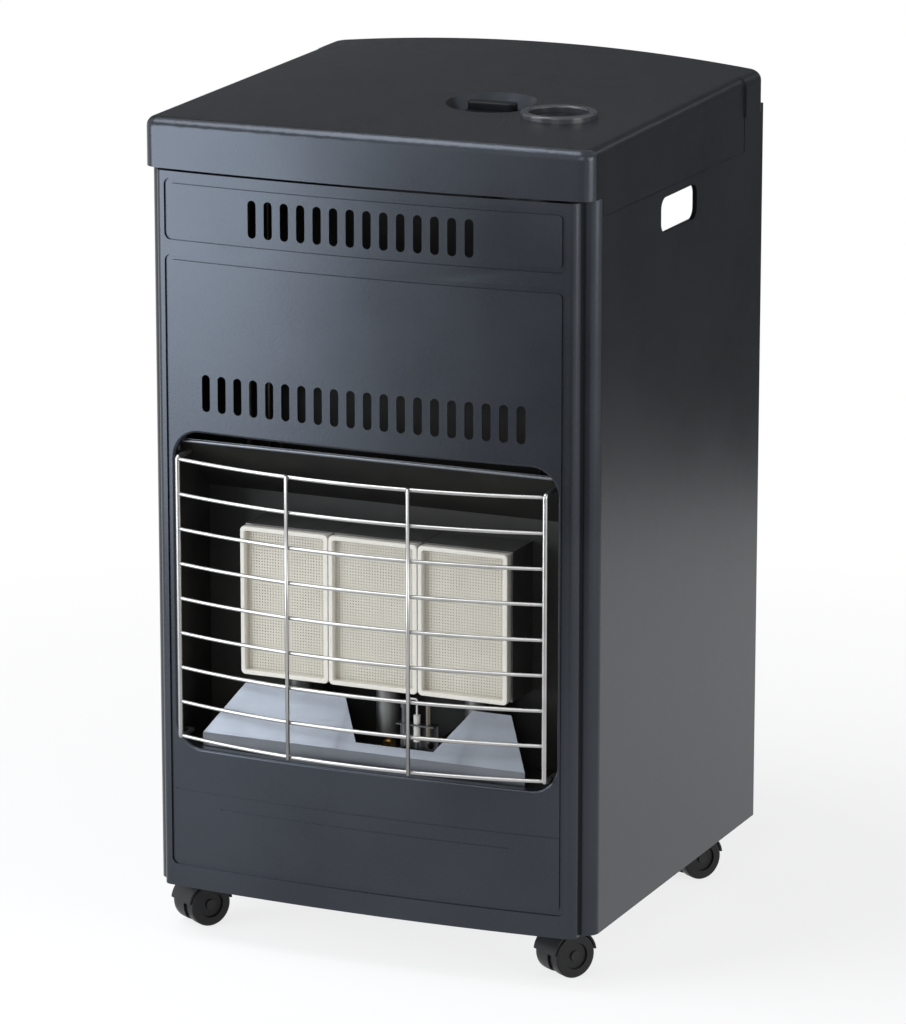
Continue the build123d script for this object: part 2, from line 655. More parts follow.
def top_cover():
    """The painted lid: a bowed, lightly arched shell with the control well pressed into it."""
    outer = stepped_lid(0)
    lid = outer - stepped_lid(SHEET)
    lid += knob_well(SHEET) & outer
    lid -= knob_well(0)
    lid -= rod((KNOB_X, KNOB_Y, WELL_FLOOR_Z - FAR), (KNOB_X, KNOB_Y, WELL_FLOOR_Z + OVER),
               SPINDLE_RADIUS + SPINDLE_HOLE_CLEARANCE)
    sleeve_hole = COLLAR_BORE + SLEEVE_WALL + SEAM
    lid -= rod((IGNITER_X, IGNITER_Y, SLEEVE_FLOOR_Z), (IGNITER_X, IGNITER_Y, COLLAR_TOP_Z + OVER),
               sleeve_hole)
    wide = 2 * HALF_WIDTH
    lid -= block(-wide, wide, -FAR, CORNER_RADIUS, 0, LID_LIP)
    rear_cut = block(-wide, wide, LID_STEP_Y, CABINET_DEPTH + FAR, 0, LID_STEP_SKIRT)
    flange_cut = block(-HALF_WIDTH - SEAM, HALF_WIDTH + SEAM, BACK_INNER_Y - FAR / 4,
                       CABINET_DEPTH + FAR, 0, SIDE_REAR_TOP + SEAM)
    keep_half = POST_INNER_X - HIDDEN_CLEARANCE
    keep = block(-keep_half, keep_half, BACK_INNER_Y - SEAM, CABINET_DEPTH, LID_REAR_SKIRT,
                 SIDE_REAR_TOP + OVER)
    skirt = lid & keep
    lid = lid - rear_cut - flange_cut + skirt
    return lid - lid_screws(SEAM / 2)


# ---- Base tray, shield and rails ----
def base_tray():
    """The floor sheet with turned-up edges and the raised seat for the gas cylinder."""
    low = TRAY_RISE
    outer = block(-WALL_INNER_X, WALL_INNER_X, SHEET, BACK_INNER_Y, low, low + TRAY_FLANGE)
    inner = block(-WALL_INNER_X + SHEET, WALL_INNER_X - SHEET, 2 * SHEET, BACK_INNER_Y - SHEET,
                  low + SHEET, low + TRAY_FLANGE + OVER)
    tray = outer - inner
    corner_cut = CORNER_RADIUS + SHEET
    for side in (-1, 1):
        x0, x1 = sorted((side * HALF_WIDTH, side * (HALF_WIDTH - corner_cut)))
        tray -= block(x0, x1, -OVER, corner_cut, 0, low + TRAY_FLANGE + OVER)
    tray -= block(-HALF_WIDTH, HALF_WIDTH, SHIELD_Y - SEAM, SHIELD_Y + SHEET + SEAM,
                  low + SHEET, low + TRAY_FLANGE + OVER)
    seat_y = cylinder_seat_y()
    tray += rod((0, seat_y, low + SHEET / 2), (0, seat_y, low + SHEET + SEAT_RISE), SEAT_RADIUS)
    tray -= rod((0, seat_y, low - OVER), (0, seat_y, low + SEAT_RISE), SEAT_RADIUS - SHEET)
    for side in (-1, 1):
        x0 = side * LUG_X - LUG_WIDTH / 2
        x1 = x0 + LUG_WIDTH
        tray += block(x0, x1, -LUG_REACH, 2 * SHEET, SHEET, 2 * SHEET)
        tray += block(x0, x1, SHEET, 2 * SHEET, SHEET, low + SHEET)
    return tray - panel_screws(SEAM / 2) - caster_bolts(SEAM / 2) - rear_screws(SEAM / 2) \
        - tray_screws(SEAM / 2)


def cylinder_seat_y():
    """The middle of the cylinder bay, from the shield to the back."""
    return (SHIELD_Y + SHEET + BACK_INNER_Y) / 2


def heat_shield():
    """The sheet between the burner and the gas cylinder, holed for the pipes."""
    floor = TRAY_RISE + SHEET
    shield = block(-WALL_INNER_X, WALL_INNER_X, SHIELD_Y, SHIELD_Y + SHEET, floor,
                   SHIELD_TOP - SHIELD_SHOULDER)
    inner = WALL_INNER_X - SHEET - SEAM
    shield += block(-inner, inner, SHIELD_Y, SHIELD_Y + SHEET, floor, SHIELD_TOP)
    shield += block(-inner, inner, SHIELD_Y, SHIELD_Y + SHIELD_HEM, SHIELD_TOP - SHEET, SHIELD_TOP)
    hole = LEAD_RADIUS + PIPE_HOLE_CLEARANCE
    z = lead_hole_z()
    shield -= rod((IGNITER_X, SHIELD_Y - OVER, z), (IGNITER_X, SHIELD_Y + SHEET + OVER, z), hole)
    leg = SHELF_HALF + SEAM
    shield -= block(KNOB_X - leg, KNOB_X + leg, SHIELD_Y + SHEET, SHIELD_Y + SHIELD_HEM + OVER,
                    SHIELD_TOP - 2 * SHEET, SHIELD_TOP + OVER)
    return shield


def front_top_rail():
    """The angle that ties the two posts together and takes the panel's top screws."""
    top = PANEL_HEIGHT - SHEET
    half = POST_INNER_X + CORNER_RADIUS
    rail = block(-half, half, SHEET, 2 * SHEET, top - FRONT_RAIL_DROP, top)
    rail += block(-TONGUE_HALF, TONGUE_HALF, SHEET, TONGUE_REACH, top - SHEET, top)
    return rail - panel_screws(SEAM / 2)


def rear_top_rail():
    """The strip that ties the side panels together at the back, under the lid."""
    low = RAIL_LOW
    half = WALL_INNER_X - SHEET
    rail = block(-half, half, BACK_INNER_Y - SHEET, BACK_INNER_Y, low, low + RAIL_HEIGHT)
    rail += block(-half, half, BACK_INNER_Y - RAIL_LIP, BACK_INNER_Y, low, low + SHEET)
    return rail - lid_screws(SEAM / 2) - rear_screws(SEAM / 2)


def rear_cover():
    """The lift-off cover of the cylinder bay, with its air slots and four hooks."""
    low = COVER_LOW
    high = COVER_TOP
    face_y = COVER_FACE_Y
    cover = block(-COVER_HALF, COVER_HALF, face_y, face_y + SHEET, low, high)
    vents = []
    for row in range(VENT_ROWS):
        z = low + VENT_BASE + row * VENT_PITCH
        for column in range(VENT_COLUMNS):
            x = (column - (VENT_COLUMNS - 1) / 2) * (VENT_LENGTH + VENT_COLUMN_GAP)
            outline = Pos(x, z) * SlotOverall(VENT_LENGTH, VENT_WIDTH)
            cutter = extrude(Plane.XZ * outline, amount=SHEET + 2 * OVER)
            vents.append(Pos(0, face_y + SHEET + OVER, 0) * cutter)
    cover -= vents
    inner = POST_INNER_X - 2 * HIDDEN_CLEARANCE
    cover += block(-inner, inner, face_y - COVER_FLANGE, face_y + SHEET / 2, high - SHEET, high)
    for side in (-1, 1):
        for z in HOOK_HEIGHTS:
            cover += cover_hook(side * HOOK_X, z)
    return cover


def cover_hook(x, z):
    """A hook that reaches through the rear flange and drops behind it."""
    half = HOOK_WIDTH / 2
    leg_y = BACK_INNER_Y - SEAM
    hook = block(x - half, x + half, leg_y - SHEET, COVER_FACE_Y + SHEET / 2, z, z + SHEET)
    return hook + block(x - half, x + half, leg_y - SHEET, leg_y, z - HOOK_DROP, z + SHEET)


# ---- Burner housing and burners ----
def burner_housing():
    """The dark sheet box round the burners, with a sloping hood and flanges to the posts."""
    back = HOUSING_BACK_Y
    floor = HOUSING_FLOOR
    outline = [(HOUSING_FRONT_Y, floor - SHEET), (back, floor - SHEET), (back, HOOD_BACK_Z),
               (HOUSING_FRONT_Y, HOOD_EDGE_Z), (HOUSING_FRONT_Y, floor - SHEET)]
    side = Plane.YZ * make_face(Polyline(*outline))
    full = Pos(-HOUSING_HALF, 0, 0) * extrude(side, amount=2 * HOUSING_HALF)
    inset = SHEET
    inner_half = HOUSING_HALF - inset
    mouth_y = HOUSING_FRONT_Y - OVER
    hollow = [(mouth_y, floor), (back - inset, floor), (back - inset, HOOD_BACK_Z - inset),
              (mouth_y, HOOD_EDGE_Z - inset), (mouth_y, floor)]
    inner = Plane.YZ * make_face(Polyline(*hollow))
    housing = full - Pos(-inner_half, 0, 0) * extrude(inner, amount=2 * inner_half)
    housing += block(-HOUSING_HALF, HOUSING_HALF, HOUSING_FRONT_Y - HOUSING_FLOOR_REACH,
                     HOUSING_FRONT_Y + OVER, floor - SHEET, floor)
    hem_y = HOUSING_FRONT_Y + HOOD_HEM_RADIUS / 2
    hem_z = HOOD_EDGE_Z - HOOD_HEM_RADIUS
    housing += rod((-HOUSING_HALF, hem_y, hem_z), (HOUSING_HALF, hem_y, hem_z), HOOD_HEM_RADIUS)
    for side_sign in (-1, 1):
        near = side_sign * (HOUSING_HALF - SHEET)
        x0, x1 = sorted((near, side_sign * (HOUSING_HALF + HOUSING_FLANGE)))
        housing += block(x0, x1, SHEET, 2 * SHEET, floor + SHEET, HOOD_EDGE_Z - HOUSING_FLANGE_DROP)
    for x, z, radius in pipe_holes():
        housing -= rod((x, back - SHEET - OVER, z), (x, back + OVER, z), radius + PIPE_HOLE_CLEARANCE)
    return housing


def burner_body(x):
    """One burner's pressed box, open at the front for its plaque."""
    low, high = BURNER_SPAN
    half = BURNER_PITCH / 2 - BURNER_GAP / 2
    body = block(x - half, x + half, BURNER_FRONT_Y, BURNER_BACK_Y, low, high)
    wall = BURNER_WALL
    body -= block(x - half + wall, x + half - wall, BURNER_FRONT_Y - OVER, BURNER_BACK_Y - wall,
                  low + wall, high - wall)
    ledge_y = PLAQUE_FACE_Y + PLAQUE_THICKNESS
    ledge = block(x - half + wall, x + half - wall, ledge_y, ledge_y + wall, low + wall, high - wall)
    inside = wall + PLAQUE_LEDGE
    ledge -= block(x - half + inside, x + half - inside, ledge_y - OVER, ledge_y + wall + OVER,
                   low + inside, high - inside)
    body += ledge
    body -= rod((x, MIXER_Y, low - OVER), (x, MIXER_Y, low + wall + OVER), MIXER_RADIUS - MIXER_WALL)
    return body


def plaque_outline(x, shrink, corner, y0, y1):
    """A rounded upright block in front of one burner, drawn in from the burner's edge."""
    low, high = BURNER_SPAN
    half = BURNER_PITCH / 2 - BURNER_GAP / 2 - shrink
    return Pos(x, 0, 0) * window(half, (low + shrink, high - shrink), corner, y0, y1)


def ceramic_plaque(x):
    """One ceramic plaque, let into the mouth of its burner box."""
    back = PLAQUE_FACE_Y + PLAQUE_THICKNESS
    return plaque_outline(x, BURNER_WALL, PLAQUE_CORNER, PLAQUE_FACE_Y, back)


def plaque_frame(x):
    """The white gasket frame that clamps one plaque's rim."""
    outer = plaque_outline(x, 0, BURNER_FRAME_CORNER + BURNER_FRAME_WIDTH / 2, BURNER_FRAME_Y,
                           PLAQUE_FACE_Y)
    return outer - plaque_outline(x, BURNER_FRAME_WIDTH, BURNER_FRAME_CORNER, -FAR, FAR)


def mixing_tube(x):
    """The upright tube that mixes gas and air below one burner."""
    top = BURNER_SPAN[0]
    tube = rod((x, MIXER_Y, MIXER_BOTTOM), (x, MIXER_Y, top), MIXER_RADIUS)
    tube += rod((x, MIXER_Y, top - MIXER_COLLAR), (x, MIXER_Y, top), MIXER_RADIUS + MIXER_COLLAR)
    bore = MIXER_RADIUS - MIXER_WALL
    return tube - rod((x, MIXER_Y, MIXER_BOTTOM - OVER), (x, MIXER_Y, top + OVER), bore)


def injector(x):
    """The brass injector that stands on the manifold and points up the mixing tube."""
    base = MANIFOLD_Z + MANIFOLD_RADIUS
    hexagon = extrude(RegularPolygon(INJECTOR_HEX, 6), amount=INJECTOR_HEX_HEIGHT)
    tip = rod((x, MIXER_Y, base), (x, MIXER_Y, MIXER_BOTTOM + INJECTOR_ENTRY), INJECTOR_RADIUS)
    return Pos(x, MIXER_Y, base) * hexagon + tip


def gas_manifold():
    """The cross tube that feeds the injectors, on two feet."""
    z = MANIFOLD_Z
    tube = rod((-MANIFOLD_END, MIXER_Y, z), (MANIFOLD_END, MIXER_Y, z), MANIFOLD_RADIUS)
    for x in BURNER_XS:
        seat = MANIFOLD_SEAT
        tube += block(x - seat, x + seat, MIXER_Y - seat, MIXER_Y + seat, z, z + MANIFOLD_RADIUS)
    for side in (-1, 1):
        x = side * BURNER_PITCH / 2
        half = MANIFOLD_FOOT / 2
        tube += block(x - half, x + half, MIXER_Y - half, MIXER_Y + half, HOUSING_FLOOR, z)
    return tube


# ---- Lower reflector ----
def lower_reflector():
    """The bright sloping sheet below the burner, notched for the pilot."""
    rise = REFLECTOR_TOP - REFLECTOR_BOTTOM
    run = REFLECTOR_TOP_Y - REFLECTOR_BOTTOM_Y
    slope = math.hypot(rise, run)
    plane = Plane((0, REFLECTOR_BOTTOM_Y, REFLECTOR_BOTTOM), x_dir=(1, 0, 0), z_dir=(0, -rise, run))
    (left_top, left_low), (right_top, right_low) = REFLECTOR_NOTCH
    start, start_top = [margin - HOUSING_HALF for margin in REFLECTOR_LEFT_MARGINS]
    end, end_top = [HOUSING_HALF - margin for margin in REFLECTOR_RIGHT_MARGINS]
    outline = [(start, 0), (start_top, slope), (left_top, slope), (left_low, REFLECTOR_STRIP),
               (right_low, REFLECTOR_STRIP), (right_top, slope), (end_top, slope), (end, 0), (start, 0)]
    sheet = extrude(plane * make_face(Polyline(*outline)), amount=-SHEET)
    lip = block(start, end, REFLECTOR_BOTTOM_Y, REFLECTOR_BOTTOM_Y + SHEET, HOUSING_FLOOR,
                REFLECTOR_BOTTOM + SHEET / 4)
    return sheet + lip


# ---- Pilot group ----
def pilot_bracket():
    """The small upright plate that carries the pilot, the probe and the electrode."""
    y = PILOT_Y
    floor = HOUSING_FLOOR
    plate_y = y + PROBE_RADIUS + 2 * SHEET
    half = PILOT_PLATE_HALF
    plate = block(PILOT_X - half, PILOT_X + half, plate_y, plate_y + SHEET, floor, PILOT_PLATE_TOP)
    plate += block(PILOT_X - half, PILOT_X + half, plate_y, plate_y + PILOT_FOOT, floor, floor + SHEET)
    shelf_z = PILOT_PLATE_TOP - SHEET
    plate += block(PILOT_X - half, PILOT_X + half, y - PILOT_SHELF_REACH, plate_y, shelf_z,
                   PILOT_PLATE_TOP)
    for i, radius in ((-1, PILOT_BODY_RADIUS), (0, ELECTRODE_RADIUS), (1, PROBE_RADIUS)):
        x = PILOT_X + i * PILOT_PITCH
        plate -= rod((x, y, shelf_z - OVER), (x, y, PILOT_PLATE_TOP + OVER), radius + RUNNING_FIT)
    for x, z, radius in pilot_pipe_spots():
        plate -= rod((x, plate_y - OVER, z), (x, plate_y + FAR, z), radius + BRACKET_HOLE_CLEARANCE)
    return plate


def pilot_burner():
    """The pilot's little burner tube with its crowned head."""
    x = PILOT_X - PILOT_PITCH
    top = (x, PILOT_Y, PILOT_TOP)
    body = rod((x, PILOT_Y, PILOT_PLATE_TOP - PILOT_BODY_DROP), top, PILOT_BODY_RADIUS)
    head = rod((x, PILOT_Y, PILOT_TOP - PILOT_HEAD_HEIGHT), top, PILOT_HEAD_RADIUS)
    port_top = PILOT_TOP - PILOT_HEAD_HEIGHT / 3
    flame_port = block(x - OVER, x + PILOT_PORT_LENGTH, PILOT_Y - OVER, PILOT_Y + OVER,
                       port_top - 2 * OVER, port_top)
    return body + head - flame_port


def electrode():
    """The ceramic-sleeved spark electrode beside the pilot."""
    x = PILOT_X
    z = PILOT_PLATE_TOP
    sleeve_top = z + ELECTRODE_SLEEVE_RISE
    sleeve = rod((x, PILOT_Y, z - ELECTRODE_SLEEVE_DROP), (x, PILOT_Y, sleeve_top), ELECTRODE_RADIUS)
    tip_z = PILOT_TOP + ELECTRODE_TIP_RISE
    tip = [(x, PILOT_Y, sleeve_top - 2 * OVER), (x, PILOT_Y, tip_z), (x - ELECTRODE_REACH, PILOT_Y, tip_z)]
    return sleeve + pipe(tip, ELECTRODE_WIRE_RADIUS, 2 * ELECTRODE_WIRE_RADIUS)


def probe_tip():
    """The thermocouple's hot end in its clamp."""
    x = PILOT_X + PILOT_PITCH
    z = PILOT_PLATE_TOP
    tip = rod((x, PILOT_Y, z - PROBE_TIP_DROP), (x, PILOT_Y, PILOT_TOP), PROBE_RADIUS)
    return fillet(tip.edges().sort_by(Axis.Z)[-1], PROBE_RADIUS * 0.8)


def pilot_pipe_spots():
    """Where the pilot's pipe and leads turn back towards the shield: x, height, radius."""
    low = PILOT_PLATE_TOP - PIPE_DROP
    return [
        (PILOT_X - PILOT_PITCH, low, PILOT_TUBE_RADIUS),
        (PILOT_X, low, LEAD_RADIUS),
        (PILOT_X + PILOT_PITCH, PILOT_PLATE_TOP - PROBE_DROP, LEAD_RADIUS),
    ]


def pipe_holes():
    """Where the pipes and leads pass through the housing's back: x, height, radius."""
    return pilot_pipe_spots() + [(FEED_RISER_X, MANIFOLD_Z, FEED_RADIUS)]


def lead_hole_z():
    """The height at which the spark lead passes through the shield."""
    return SLEEVE_FLOOR_Z - PIEZO_LENGTH - PIEZO_LEAD_DROP


def burner_feed_pipe():
    """The pipe from the valve down behind the housing to the manifold."""
    x = FEED_RISER_X
    z = MANIFOLD_Z
    start = (KNOB_X - VALVE_RADIUS - VALVE_PORT_RADIUS, KNOB_Y, OVERPASS_Z + FEED_PORT_RISE)
    route = [start, (x, KNOB_Y, start[2]), (x, RISER_Y, start[2]), (x, RISER_Y, z), (x, MIXER_Y, z),
             (-MANIFOLD_END, MIXER_Y, z)]
    return pipe(route, FEED_RADIUS, PIPE_BEND)


def pilot_pipe():
    """The thin pipe from the valve to the pilot."""
    x = PILOT_X - PILOT_PITCH
    low = PILOT_PLATE_TOP - PIPE_DROP
    start = (KNOB_X, KNOB_Y - VALVE_RADIUS - PILOT_PORT_REACH, OVERPASS_Z)
    side = (KNOB_X, PILOT_CROSSING_Y, OVERPASS_Z)
    route = [start, side, (PILOT_RISER_X, PILOT_CROSSING_Y, OVERPASS_Z),
             (PILOT_RISER_X, RISER_Y, OVERPASS_Z), (PILOT_RISER_X, RISER_Y, low),
             (x, RISER_Y, low), (x, PILOT_Y, low),
             (x, PILOT_Y, PILOT_PLATE_TOP - PILOT_BODY_DROP)]
    return pipe(route, PILOT_TUBE_RADIUS, PIPE_BEND)


# ---- Guard ----
def wire_guard():
    """The welded guard: bowed cross wires on uprights, with four legs into the housing."""
    start, middle = (-GUARD_HALF, GUARD_END_Y), (0, GUARD_END_Y - GUARD_BOW)
    arc = ThreePointArc(start, middle, (GUARD_HALF, GUARD_END_Y))
    section = Plane(arc @ 0, z_dir=arc % 0) * Circle(WIRE_RADIUS)
    wire = sweep(section, path=arc)
    low, high = GUARD_LOW - WIRE_RADIUS, GUARD_TOP + WIRE_RADIUS
    guard = guard_upright(-GUARD_UPRIGHT_X, low, high) + guard_upright(GUARD_UPRIGHT_X, low, high)
    for i in range(GUARD_ROWS):
        guard += Pos(0, 0, GUARD_TOP - i * GUARD_PITCH) * wire
    return guard + guard_end(-1) + guard_end(1)


def guard_upright(x, low, high):
    """A straight upright welded across the front of the bowed wires."""
    return rod((x, GUARD_UPRIGHT_Y, low), (x, GUARD_UPRIGHT_Y, high), WIRE_RADIUS)


def guard_end(side):
    """An end upright, bent back at both ends to hook against the housing's side."""
    x = side * GUARD_HALF
    wall_x = side * (HOUSING_HALF - SHEET)
    y = GUARD_LEG_Y
    top, low = GUARD_TOP + GUARD_LEG_RISE, GUARD_LOW - GUARD_LEG_RISE
    route = [(wall_x, y, top), (x, y, top), (x, GUARD_END_Y, top),
             (x, GUARD_END_Y, low), (x, y, low), (wall_x, y, low)]
    return pipe(route, GUARD_FRAME_RADIUS, 1.1 * GUARD_FRAME_RADIUS)


# ---- Valve, knob and igniter ----
def valve_bracket():
    """The shelf on the shield that carries the gas valve."""
    back = SHIELD_Y + SHEET
    x0, x1 = KNOB_X - SHELF_HALF, KNOB_X + SHELF_HALF
    shelf = block(x0, x1, back, back + SHELF_REACH, SHELF_Z - SHEET, SHELF_Z)
    shelf += block(x0, x1, back, back + SHEET, SHELF_Z - SHELF_LEG, SHELF_Z)
    neck = VALVE_NECK_RADIUS + SEAM
    cut = rod((KNOB_X, KNOB_Y, SHELF_Z - SHEET - OVER), (KNOB_X, KNOB_Y, SHELF_Z + OVER), neck)
    slot_z = OVERPASS_Z
    notch = PILOT_TUBE_RADIUS + PIPE_HOLE_CLEARANCE
    hole = rod((KNOB_X, back - OVER, slot_z), (KNOB_X, back + SHEET + OVER, slot_z), notch)
    return shelf - cut - hole


def gas_valve():
    """The valve body with its neck, nut and three ports."""
    top = SHELF_Z - SHEET
    low = top - VALVE_HEIGHT
    x, y = KNOB_X, KNOB_Y
    valve = rod((x, y, low), (x, y, top), VALVE_RADIUS)
    valve += rod((x, y, top), (x, y, top + VALVE_NECK_HEIGHT), VALVE_NECK_RADIUS)
    nut = RegularPolygon(VALVE_NECK_RADIUS + VALVE_NUT_WALL, 6) - Circle(VALVE_NECK_RADIUS)
    valve += Pos(x, y, SHELF_Z) * extrude(nut, amount=VALVE_NUT_HEIGHT)
    port = VALVE_PORT_RADIUS
    feed_z = OVERPASS_Z + FEED_PORT_RISE
    valve += rod((x, y, feed_z), (x - VALVE_RADIUS - port, y, feed_z), port)
    valve += rod((x, y, OVERPASS_Z), (x, y - VALVE_RADIUS - PILOT_PORT_REACH, OVERPASS_Z),
                 PILOT_PORT_RADIUS)
    valve += rod((x, y, INLET_Z), (x, y + VALVE_RADIUS + INLET_PORT_REACH, INLET_Z), INLET_PORT_RADIUS)
    return valve - rod((x, y, spindle_bottom() - KNOB_PRESS - 2 * OVER), (x, y, top + FAR),
                       SPINDLE_RADIUS + RUNNING_FIT)


def spindle_bottom():
    """The height of the spindle's lower end inside the valve."""
    return SHELF_Z - VALVE_BORE_DEPTH


def valve_spindle():
    """The spindle that the knob presses and turns."""
    top = KNOB_Z + KNOB_HEIGHT / 2
    return rod((KNOB_X, KNOB_Y, spindle_bottom()), (KNOB_X, KNOB_Y, top), SPINDLE_RADIUS)


def control_knob():
    """The round knob with a raised grip bar."""
    x, y = KNOB_X, KNOB_Y
    skirt = rod((x, y, KNOB_Z), (x, y, KNOB_Z + KNOB_SKIRT), KNOB_RADIUS)
    skirt = chamfer(skirt.edges().sort_by(Axis.Z)[-1], KNOB_SKIRT / 3)
    grip = extrude(SlotOverall(KNOB_GRIP_LENGTH, KNOB_GRIP_WIDTH), amount=KNOB_HEIGHT)
    grip = fillet(grip.edges().group_by(Axis.Z)[-1], KNOB_GRIP_ROUND)
    knob = skirt + Pos(x, y, KNOB_Z) * grip
    bore_top = KNOB_Z + KNOB_HEIGHT / 2 + SEAM
    return knob - rod((x, y, KNOB_Z - OVER), (x, y, bore_top), SPINDLE_RADIUS + RUNNING_FIT)


def hose_tail():
    """The brass inlet tail that a gas hose pushes onto, pointing to the open back."""
    y = KNOB_Y + VALVE_RADIUS + INLET_PORT_REACH
    x, z = KNOB_X, INLET_Z
    tip_y = y + HOSE_NUT_LENGTH + HOSE_TAIL_LENGTH
    nut = extrude(RegularPolygon(HOSE_NUT_RADIUS, 6), amount=HOSE_NUT_LENGTH)
    nut = Plane((x, y, z), z_dir=(0, 1, 0)) * nut
    tail = rod((x, y + HOSE_NUT_LENGTH, z), (x, tip_y, z), HOSE_TAIL_RADIUS)
    return nut + chamfer(tail.edges().sort_by(Axis.Y)[-1], HOSE_TAIL_CHAMFER)


def igniter_collar():
    """The raised ring round the igniter button, with its sleeve below the lid."""
    x, y = IGNITER_X, IGNITER_Y
    ring = rod((x, y, SHELF_Z), (x, y, COLLAR_TOP_Z), COLLAR_RADIUS)
    ring -= rod((x, y, 0), (x, y, COLLAR_TOP_Z + OVER), COLLAR_BORE)
    ring = fillet(ring.edges().group_by(Axis.Z)[-1], COLLAR_ROUND)
    ring -= stepped_lid(0)
    sleeve_top = COLLAR_TOP_Z - COLLAR_ROUND
    sleeve = rod((x, y, SLEEVE_FLOOR_Z), (x, y, sleeve_top), COLLAR_BORE + SLEEVE_WALL)
    sleeve -= rod((x, y, SLEEVE_FLOOR_Z + SLEEVE_FLOOR), (x, y, COLLAR_TOP_Z + OVER), COLLAR_BORE)
    hole = BUTTON_STEM_RADIUS + RUNNING_FIT
    return ring + sleeve - rod((x, y, 0), (x, y, COLLAR_TOP_Z + OVER), hole)


def igniter_button():
    """The round push button with its stem."""
    x, y = IGNITER_X, IGNITER_Y
    low = BUTTON_TOP_Z - BUTTON_HEIGHT
    cap = rod((x, y, low), (x, y, BUTTON_TOP_Z), COLLAR_BORE - BUTTON_CLEARANCE)
    cap = fillet(cap.edges().sort_by(Axis.Z)[-1], BUTTON_ROUND)
    return cap + rod((x, y, low - BUTTON_STEM_LENGTH), (x, y, low), BUTTON_STEM_RADIUS)


def piezo_igniter():
    """The piezo cartridge hung below the collar's floor."""
    x, y = IGNITER_X, IGNITER_Y
    top = SLEEVE_FLOOR_Z
    body = rod((x, y, top - PIEZO_LENGTH), (x, y, top), PIEZO_RADIUS)
    stem_low = BUTTON_TOP_Z - BUTTON_HEIGHT - BUTTON_STEM_LENGTH
    bore_low = stem_low - BUTTON_TRAVEL - PIEZO_BORE_CLEARANCE
    return body - rod((x, y, bore_low), (x, y, top + OVER), BUTTON_STEM_RADIUS + RUNNING_FIT)


def spark_lead():
    """The lead from the piezo through the shield and down to the electrode."""
    x, y = IGNITER_X, IGNITER_Y
    start = (x, y, SLEEVE_FLOOR_Z - PIEZO_LENGTH)
    z = lead_hole_z()
    low = PILOT_PLATE_TOP - PIPE_DROP
    route = [start, (x, y, z), (x, RISER_Y, z), (x, RISER_Y, low), (PILOT_X, RISER_Y, low),
             (PILOT_X, PILOT_Y, low), (PILOT_X, PILOT_Y, PILOT_PLATE_TOP - ELECTRODE_SLEEVE_DROP)]
    return pipe(route, LEAD_RADIUS, 2 * PIPE_BEND / 3)


def thermocouple():
    """The probe and its capillary, up behind the housing to the valve."""
    x = PILOT_X + PILOT_PITCH
    low = PILOT_PLATE_TOP - PROBE_DROP
    back_y = PROBE_RISER_Y
    cross_y = PROBE_CROSSING_Y
    top = PROBE_OVERPASS_Z
    end_x = KNOB_X + VALVE_RADIUS / 2
    near_x = VALVE_RADIUS / 2 - LEAD_RADIUS
    end_y = KNOB_Y - math.sqrt(VALVE_RADIUS ** 2 - near_x ** 2) - SEAM
    start_z = PILOT_PLATE_TOP - PROBE_DROP / 2
    route = [(x, PILOT_Y, start_z), (x, PILOT_Y, low), (x, back_y, low),
             (PROBE_RISER_X, back_y, low), (PROBE_RISER_X, back_y, top),
             (PROBE_RISER_X, cross_y, top), (end_x, cross_y, top), (end_x, end_y, top)]
    return probe_tip() + pipe(route, LEAD_RADIUS, 2 * PIPE_BEND / 3)


# ---- Screws ----
def screw(place, direction, length, grow):
    """A pan-head screw whose head rests at place; grown, it is the hole for its shank."""
    spot = Vector(*place)
    way = Vector(*direction)
    shank = rod(spot, spot + way * length, SCREW_RADIUS + grow)
    if grow:
        return shank
    head = rod(spot - way * SCREW_HEAD, spot, SCREW_HEAD_RADIUS)
    crown = head.edges().sort_by(lambda e: (e.center() - spot).dot(way))[0]
    return shank + fillet(crown, SCREW_HEAD_ROUND)


def group(solids):
    """Separate like solids kept together as one node."""
    return Compound(children=list(solids))


def panel_screws(grow):
    """Two screws down through the panel's top tongue, two up through its lower edge."""
    screws = []
    for side in (-1, 1):
        x = side * LUG_X
        top = (x, TONGUE_REACH / 2, PANEL_HEIGHT)
        low = (x, -LUG_REACH / 2, 0)
        screws.append(screw(top, (0, 0, -1), 2 * SHEET + SCREW_TIP, grow))
        screws.append(screw(low, (0, 0, 1), 2 * SHEET + SCREW_TIP, grow))
    return screws


def lid_screws(grow):
    """Four screws through the lid's rear skirt into the rear rail."""
    xs = [side * x for side in (-1, 1) for x in (LID_SCREW_X, LID_SCREW_X - LID_SCREW_PITCH)]
    length = 2 * SHEET + SCREW_TIP
    return [screw((x, CABINET_DEPTH, LID_SCREW_Z), (0, -1, 0), length, grow) for x in xs]


def rear_screws(grow):
    """Two screws through each rear flange: one into the tray, one into the rear rail."""
    heights = (TRAY_RISE + REAR_SCREW_RISE, RAIL_LOW + SCREW_HEAD_RADIUS)
    spots = [(side * HOOK_X, CABINET_DEPTH, z) for side in (-1, 1) for z in heights]
    return [screw(spot, (0, -1, 0), 2 * SHEET + SCREW_TIP, grow) for spot in spots]


def tray_screws(grow):
    """Screws from inside the tray's side flanges into the side panels' lower edge."""
    z = TRAY_RISE + TRAY_FLANGE / 2
    length = 2 * SHEET - SEAM
    screws = []
    for side in (-1, 1):
        for y in (SHIELD_Y + TRAY_SCREW_INSET, BACK_INNER_Y - TRAY_SCREW_INSET):
            spot = (side * (WALL_INNER_X - SHEET), y, z)
            screws.append(screw(spot, (side, 0, 0), length, grow))
    return screws


